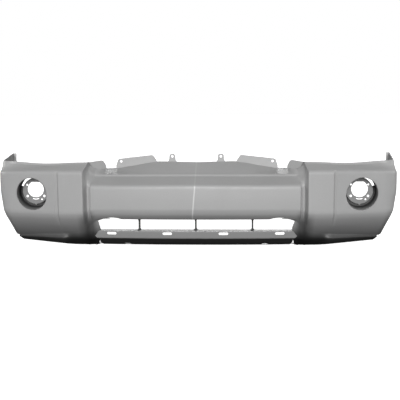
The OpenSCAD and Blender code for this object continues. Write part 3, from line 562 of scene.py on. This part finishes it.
def intake_arc(side):
    """What the raised arc at one end of the intake's top edge takes out of the return flange."""
    bump_z = RETURN_Z + 0.5 + BUMP_RISE - BUMP_R
    low = RETURN_Z - 10
    top = [(u, bump_z + math.sqrt(BUMP_R ** 2 - u ** 2)) for u in np.linspace(-BUMP_HALF, BUMP_HALF, 41)]
    return prism(top + [(BUMP_HALF, low), (-BUMP_HALF, low)],
                 lambda u, v, d: np.array([side * HOOK_X + u, BUMP_FRONT + d, v]), BUMP_DEPTH)


def cover_cuts():
    holes = []
    for side in SIDES:
        holes.append(pocket_bore(side))
        for x in RETAINER_XS:
            holes.append(rod((side * x, RETAINER_Y, -5), (0, 0, 1), RETAINER_HOLE_R, 14))
        for row in ARCH_HOLE_ROWS:
            p, axis = arch_hole(side, row)
            holes.append(rod(p - 10 * axis, axis, ARCH_HOLE_R, 20))
        holes.append(intake_arc(side))
    for x in GRILLE_SCREW_XS:
        holes.append(rod((x, GRILLE_SCREW_Y, RETURN_Z - 5), (0, 0, 1), PILOT_R, 12))
    return holes


def cover():
    columns = cover_columns()

    def has_cell(i, k):
        return k < CHAMFER_ROW or (columns[i][1] and columns[i + 1][1])

    skin = shell("cover_skin", [c[0] for c in columns], has_cell, WALL)
    cut(skin, cover_cuts())
    parts = [skin]
    for side in SIDES:
        parts += pocket(side) + tabs(side)
        for s in RAIL_S:
            base = at(side * s, -WALL + 1, RAIL_Z)
            inward = at(side * s, -WALL - 9, RAIL_Z) - base
            parts.append(make("rail_boss", *rod(base, inward, BOSS_R, RAIL_BOSS_H + 1, 24)))
    body = merge(parts, "cover_body")
    smooth(body)
    return body


def long_hole(half, r):
    """The outline of a hole with round ends of radius r, their centres half to each side of its middle."""
    end = [(half + r * math.cos(a), r * math.sin(a)) for a in np.linspace(-math.pi / 2, math.pi / 2, 17)]
    return end + [(-u, v) for u, v in reversed(end)]


def slot_prism(x, y0, z, depth):
    outline = long_hole(SLOT_LENGTH / 2 - SLOT_WIDTH / 2, SLOT_WIDTH / 2)
    return prism(outline, lambda u, v, d: np.array([x + u, y0 + d, z + v]), depth)


def oval_prism(x, y, z0, h):
    outline = long_hole(BELLY_HALF_LENGTH - BELLY_R, BELLY_R)
    return prism(outline, lambda u, v, d: np.array([x + u, y + v, z0 + d]), h)


def foot(side):
    """The plate that reaches from the valance under one wing's floor, with its two retainer holes."""
    outline = round_corners([(FOOT_START, FOOT_FRONT), (FOOT_END, FOOT_FRONT), (FOOT_END, FOOT_BACK),
                             (FOOT_START, FOOT_BACK)], 5)
    base = WALL + FOOT_GAP
    plate = make("foot", *prism(outline, lambda u, v, d: np.array([side * u, v, base + d]), FOOT_T))
    cut(plate, [rod((side * x, RETAINER_Y, -5), (0, 0, 1), RETAINER_HOLE_R, 20) for x in RETAINER_XS])
    return plate


def valance():
    columns = []
    for u in np.linspace(-1, 1, 121):
        pts = [at((-1 if u < 0 else 1) * (abs(u) * width + SMALL), out, z) for out, width, z in BAR_KEYS]
        columns.append(rounded(pts, BAR_ROUND))
    skin = shell("valance_skin", columns, lambda i, k: True, WALL)
    holes = [slot_prism(n * SLOT_PITCH, guide_y_at(n * SLOT_PITCH) - SLOT_NEAR, SLOT_Z, SLOT_NEAR - SLOT_FAR)
             for n in (-1.5, -0.5, 0.5, 1.5)]
    holes += [oval_prism(side * BELLY_X, BELLY_Y, -5, 30) for side in SIDES]
    holes += [rod((x, GRILLE_LOW_SCREW_Y, SHELF_Z - 6), (0, 0, 1), SHELF_SCREW_R, 12)
              for x in GRILLE_SCREW_XS]
    cut(skin, holes)
    body = merge([skin] + [foot(side) for side in SIDES], "valance_body")
    smooth(body)
    return body


# ---- Materials ----

def nodes_of(name):
    """A new material, its node tree and its shader."""
    mat = bpy.data.materials.new(name)
    mat.use_nodes = True
    tree = mat.node_tree
    return mat, tree, tree.nodes["Principled BSDF"]


def noise(tree, scale, detail=3.0):
    """Soft noise in the object's own coordinates, from 0 to 1."""
    where = tree.nodes.new("ShaderNodeTexCoord")
    node = tree.nodes.new("ShaderNodeTexNoise")
    node.inputs["Scale"].default_value, node.inputs["Detail"].default_value = scale, detail
    tree.links.new(where.outputs["Object"], node.inputs["Vector"])
    return node.outputs["Fac"]


def spread(tree, fac, low, high, low_at=0.3, high_at=0.7):
    """Carries fac from low_at..high_at over to low..high, held at the ends."""
    node = tree.nodes.new("ShaderNodeMapRange")
    for socket, value in zip(("From Min", "From Max", "To Min", "To Max"), (low_at, high_at, low, high)):
        node.inputs[socket].default_value = value
    tree.links.new(fac, node.inputs["Value"])
    return node.outputs["Result"]


def math_node(tree, operation, a, b=None):
    node = tree.nodes.new("ShaderNodeMath")
    node.operation = operation
    for socket, value in zip(node.inputs, (a, b)):
        if value is None:
            continue
        if isinstance(value, (int, float)):
            socket.default_value = value
        else:
            tree.links.new(value, socket)
    return node.outputs[0]


def grey(tree, bsdf, value):
    """Makes the shader's base colour a grey of the given value."""
    mix = tree.nodes.new("ShaderNodeCombineColor")
    for socket in mix.inputs[:3]:
        tree.links.new(value, socket)
    tree.links.new(mix.outputs[0], bsdf.inputs["Base Color"])


def bumped(tree, bsdf, height, distance, strength=0.3):
    bump = tree.nodes.new("ShaderNodeBump")
    bump.inputs["Strength"].default_value, bump.inputs["Distance"].default_value = strength, distance
    tree.links.new(height, bump.inputs["Height"])
    tree.links.new(bump.outputs["Normal"], bsdf.inputs["Normal"])


# Painted shade: the valance's and the lamp brackets' greys are the cover's primer set darker, because the
# valance faces down and the brackets sit deep in the lamp pockets
PRIMER_GREY, VALANCE_SHADED_GREY, BRACKET_SHADED_GREY = 0.30, 0.235, 0.17
# Painted highlight along the centre fold: lean, core and width of the pale line, then its strength
CREASE_LEAN, CREASE_CORE, CREASE_WIDTH = 0.011, 0.0008, 0.0042      # metres
CREASE_HIGHLIGHT, CREASE_BAND_HIGHLIGHT = 0.04, 0.15      # how much paler the fold is, and how much more from the band down
# Painted shade inside the lamp pockets: the depth it deepens over, in metres, and the share of the tone it
# takes away
POCKET_SHADE_DEPTH, POCKET_SHADE = 0.060, 0.9


def multiplied(tree, tone, factor):
    return math_node(tree, "MULTIPLY", tone, factor)


def crease_highlight(tree, x, z):
    """Painted highlight along the centre fold: a pale line from the centre plane at the band's top to
    CREASE_LEAN beside it below.
    """
    lean = spread(tree, z, 0.0, -CREASE_LEAN, row_z(BAND_TOP), row_z(BAND_BOTTOM - 30))
    off = math_node(tree, "ABSOLUTE", math_node(tree, "SUBTRACT", x, lean))
    line = spread(tree, off, 1.0, 0.0, CREASE_CORE, CREASE_WIDTH)
    band = math_node(tree, "LESS_THAN", z, row_z(BAND_TOP + 6))
    paler = math_node(tree, "ADD", multiplied(tree, band, CREASE_BAND_HIGHLIGHT), CREASE_HIGHLIGHT)
    return multiplied(tree, line, paler)


def pocket_depth_shade(tree, x, y, z):
    """Painted shade inside the lamp pockets: the tone darkens with depth, down to a tenth of itself."""
    across = math_node(tree, "SUBTRACT", math_node(tree, "ABSOLUTE", x), LAMP_X * MM)
    up = math_node(tree, "SUBTRACT", z, row_z(LAMP_Z))
    squares = math_node(tree, "ADD", multiplied(tree, across, across), multiplied(tree, up, up))
    inside = math_node(tree, "LESS_THAN", squares, ((POCKET_R + 4) * MM) ** 2)
    mouth = row_y(guide_y_at(LAMP_X) + 4)
    depth = spread(tree, y, 0.0, POCKET_SHADE, mouth, mouth + POCKET_SHADE_DEPTH)
    return math_node(tree, "SUBTRACT", 1.0, multiplied(tree, inside, depth))


def wing_foot_shade(tree, x, z):
    """Painted shade on the wings' feet: a soft patch inboard of the lip and one by the opening's end; x in
    metres.
    """
    side = math_node(tree, "ABSOLUTE", x)
    inboard = spread(tree, side, 1.0, 0.0, 0.562, 0.592)
    low = spread(tree, z, 0.62, 0.0, row_z(28), row_z(72))
    beside = multiplied(tree, spread(tree, side, 0.0, 1.0, 0.436, 0.456),
                        spread(tree, side, 1.0, 0.0, 0.478, 0.520))
    high = spread(tree, z, 0.58, 0.0, row_z(112), row_z(168))
    first = math_node(tree, "SUBTRACT", 1.0, multiplied(tree, inboard, low))
    return multiplied(tree, first, math_node(tree, "SUBTRACT", 1.0, multiplied(tree, beside, high)))


def primer(name, tone=PRIMER_GREY, crease=False, pockets=False, behind=None, shade_fades=()):
    """Sprayed grey primer, with soft clouds of tone and fine orange peel.

    The fold switch adds a painted highlight along the centre fold, and the pocket switch painted shade deep
    in the lamp pockets and on the wings' feet. The rear argument is painted shade toward the rear, as (y
    where it starts, y where it ends, share left there), and each fade is painted shade toward the bottom, as
    (low z, high z, share left at low z), all in the part's millimetres.
    """
    mat, tree, bsdf = nodes_of(name)
    tone = math_node(tree, "ADD", spread(tree, noise(tree, 5, 4), -0.008, 0.008), tone)
    tone = math_node(tree, "ADD", tone, spread(tree, noise(tree, 260, 2), -0.005, 0.005))
    where = tree.nodes.new("ShaderNodeTexCoord")
    split = tree.nodes.new("ShaderNodeSeparateXYZ")
    tree.links.new(where.outputs["Object"], split.inputs[0])
    x, y, z = (split.outputs[axis] for axis in "XYZ")
    if crease:
        # Painted highlight along the centre fold
        tone = math_node(tree, "ADD", tone, crease_highlight(tree, x, z))
    if pockets:
        # Painted shade deep in the lamp pockets
        tone = multiplied(tree, tone, pocket_depth_shade(tree, x, y, z))
        # Painted shade on the wings' feet
        tone = multiplied(tree, tone, wing_foot_shade(tree, x, z))
    if behind:
        # Painted shade toward the rear
        near, far, share = behind
        tone = multiplied(tree, tone, spread(tree, y, 1.0, share, row_y(near), row_y(far)))
    # Painted shade toward the bottom, where the faces turn under
    for low, high, share in shade_fades:
        tone = multiplied(tree, tone, spread(tree, z, share, 1.0, row_z(low), row_z(high)))
    grey(tree, bsdf, tone)
    tree.links.new(spread(tree, noise(tree, 40), 0.40, 0.52), bsdf.inputs["Roughness"])
    bumped(tree, bsdf, noise(tree, 900, 2), 0.0002)
    bsdf.inputs["Specular IOR Level"].default_value = 0.4
    return mat


def black_plastic():
    """Moulded black plastic with a fine grain and a little dust."""
    mat, tree, bsdf = nodes_of("black_plastic")
    grey(tree, bsdf, math_node(tree, "ADD", spread(tree, noise(tree, 30, 4), 0.006, 0.014),
                               spread(tree, noise(tree, 700, 2), 0.0, 0.004)))
    tree.links.new(spread(tree, noise(tree, 120), 0.5, 0.66), bsdf.inputs["Roughness"])
    bumped(tree, bsdf, noise(tree, 1400, 2), 0.0002, 0.5)
    return mat


def zinc_steel():
    """Bright zinc on steel, with the uneven sheen of barrel plating."""
    mat, tree, bsdf = nodes_of("zinc_steel")
    grey(tree, bsdf, spread(tree, noise(tree, 90, 3), 0.50, 0.66))
    tree.links.new(spread(tree, noise(tree, 200), 0.26, 0.42), bsdf.inputs["Roughness"])
    bsdf.inputs["Metallic"].default_value = 1.0
    bumped(tree, bsdf, noise(tree, 1800, 2), 0.0001, 0.3)
    return mat


def paint(obj, mat):
    obj.data.materials.clear()
    obj.data.materials.append(mat)


# ---- Camera, floor and light ----

CAMERA_AT, CAMERA_UP, CAMERA_SIDE, CAMERA_ROLL = 3200, 7.57, 2.566, -0.343     # mm, then degrees
CAMERA_TARGET = np.array([22.9, 0.0, 215.66])
LENS, SENSOR, CLIP_NEAR, CLIP_FAR = 66.89, 36, 0.05, 60

PIN_TRAVEL = 0.008          # metres that the retainer pins slide down
FLOOR_HALF, FLOOR_GLOW = 30, 0.7
DOME_LOW, DOME_HIGH = 0.03, 0.20
SUN_SPREAD, SUN_DISTANCE = 28, 3        # degrees, metres
# name, azimuth, elevation, strength; azimuth 0 shines from the front, positive from the vehicle's left
SUNS = [("key", 1, 16, 3.75), ("left_fill", 106, 14, 1.0), ("right_fill", -106, 14, 1.0),
    ("back", 180, 20, 1.2)]


def camera():
    up, side, roll = (math.radians(a) for a in (CAMERA_UP, CAMERA_SIDE, CAMERA_ROLL))
    back = Vector((math.sin(side) * math.cos(up), -math.cos(side) * math.cos(up), math.sin(up)))
    across = (-back).cross(Vector((0, 0, 1))).normalized()
    top = across.cross(-back)
    across, top = (across * math.cos(roll) + top * math.sin(roll),
                   top * math.cos(roll) - across * math.sin(roll))
    data = bpy.data.cameras.new("camera")
    data.lens, data.sensor_width, data.clip_start, data.clip_end = LENS, SENSOR, CLIP_NEAR, CLIP_FAR
    cam = bpy.data.objects.new("camera", data)
    where = Vector(to_row(CAMERA_TARGET)) + back * CAMERA_AT * MM
    cam.matrix_world = Matrix(((across[0], top[0], back[0], where[0]), (across[1], top[1], back[1], where[1]),
                               (across[2], top[2], back[2], where[2]), (0, 0, 0, 1)))
    bpy.context.scene.collection.objects.link(cam)
    bpy.context.scene.camera = cam


def soft_sun(name, azimuth, elevation, strength):
    data = bpy.data.lights.new(name, "SUN")
    data.energy, data.angle = strength, math.radians(SUN_SPREAD)
    lamp = bpy.data.objects.new(name, data)
    az, el = math.radians(azimuth), math.radians(elevation)
    toward = (math.sin(az) * math.cos(el), -math.cos(az) * math.cos(el), math.sin(el))
    lamp.location = [SUN_DISTANCE * v for v in toward]
    lamp.rotation_euler = (-Vector(lamp.location)).to_track_quat("-Z", "Y").to_euler()
    bpy.context.scene.collection.objects.link(lamp)


def studio_world():
    """White to the camera; a dim dome that darkens below the horizon to the part."""
    world = bpy.data.worlds.new("studio")
    world.use_nodes = True
    tree = world.node_tree
    dome = tree.nodes["Background"]
    where = tree.nodes.new("ShaderNodeTexCoord")
    split = tree.nodes.new("ShaderNodeSeparateXYZ")
    tree.links.new(where.outputs["Generated"], split.inputs[0])
    glow = spread(tree, split.outputs["Z"], DOME_LOW, DOME_HIGH, -0.35, 0.25)
    tree.links.new(glow, dome.inputs["Strength"])
    white = tree.nodes.new("ShaderNodeBackground")
    seen = tree.nodes.new("ShaderNodeLightPath")
    mix = tree.nodes.new("ShaderNodeMixShader")
    dome.inputs["Color"].default_value = white.inputs["Color"].default_value = (1, 1, 1, 1)
    tree.links.new(seen.outputs["Is Camera Ray"], mix.inputs["Fac"])
    tree.links.new(dome.outputs[0], mix.inputs[1])
    tree.links.new(white.outputs[0], mix.inputs[2])
    tree.links.new(mix.outputs[0], tree.nodes["World Output"].inputs["Surface"])
    bpy.context.scene.world = world
    bpy.context.scene.view_settings.view_transform = "Standard"


def studio():
    floor_z = CAD_BOX[0][2] - PIN_TRAVEL - 0.001     # clear of the retainer pins when they are pulled down
    mesh = bpy.data.meshes.new("floor")
    corners = ((-1, -1), (1, -1), (1, 1), (-1, 1))
    mesh.from_pydata([(x * FLOOR_HALF, y * FLOOR_HALF, floor_z) for x, y in corners], [], [(0, 1, 2, 3)])
    floor = bpy.data.objects.new("floor", mesh)
    bpy.context.scene.collection.objects.link(floor)
    mat, tree, bsdf = nodes_of("floor")
    grey(tree, bsdf, spread(tree, noise(tree, 2), 0.86, 0.88))
    bsdf.inputs["Roughness"].default_value = 0.9
    bsdf.inputs["Emission Color"].default_value = (1, 1, 1, 1)
    bsdf.inputs["Emission Strength"].default_value = FLOOR_GLOW
    paint(floor, mat)
    floor.visible_diffuse = floor.visible_glossy = False     # its glow doesn't light the part from below
    studio_world()
    for sun in SUNS:
        soft_sun(*sun)


# ---- The model ----

painted_cover = cover()
painted_valance = valance()
# The cover gets a painted highlight along its fold, painted shade in its lamp pockets, on its wings' feet and
# toward its underside; the valance gets painted shade toward its belly
paint(painted_cover, primer("cover_primer", crease=True, pockets=True, shade_fades=((27, 168, 0.07),)))
paint(painted_valance, primer("valance_primer", VALANCE_SHADED_GREY, shade_fades=((38, 43, 0.1),)))
for piece, node in ((painted_cover, "bumper_cover"), (painted_valance, "lower_valance")):
    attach(piece, "cover")
    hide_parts(node)

# The brackets' primer is set darker and darkened behind the plate's front: painted shade deep in the lamp
# pockets
bracket_shaded_primer = primer("bracket_shaded_primer", BRACKET_SHADED_GREY, behind=(PLATE_FRONT + 3, PLATE_FRONT + 10, 0.1))
finish = {"primed_plastic": bracket_shaded_primer, "black_plastic": black_plastic(), "zinc_steel": zinc_steel()}
for part in frame["record"]["subparts"]:
    if part["node"] not in ("bumper_cover", "lower_valance"):
        paint(frame["nodes"][part["node"]], finish[part["material_slot"]])

camera()
studio()

bpy.context.view_layer.update()
